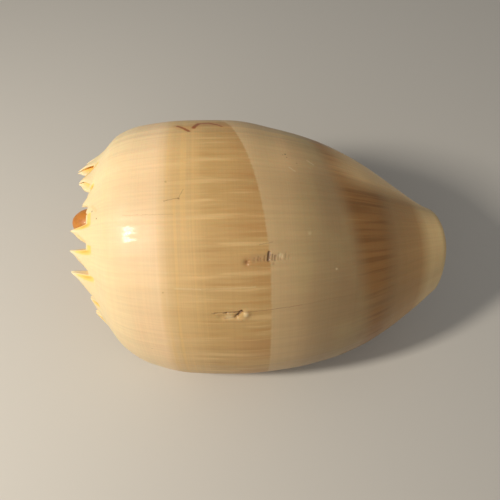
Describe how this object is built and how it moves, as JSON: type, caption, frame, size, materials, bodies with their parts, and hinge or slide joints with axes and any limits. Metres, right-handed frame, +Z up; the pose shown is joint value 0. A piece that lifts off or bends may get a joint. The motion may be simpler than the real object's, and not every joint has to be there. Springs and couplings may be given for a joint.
{
  "type": "crowned volute seashell",
  "caption": "Large glossy volute seashell with a crown of folded spines round a small smooth globe, lying on its open side.",
  "frame": {"origin": "middle of the shell's footprint, on the surface that it lies on", "axes": "+X towards the open front end along the shell's length, -X towards the spines, +Z up through its back, -Y towards the outer lip"},
  "size_m": [0.1778, 0.1182, 0.1025],
  "materials": {
    "shell": "polished natural shell, glossy"
  },
  "bodies": {
    "root": {"shell": "shell"}
  },
  "joints": []
}
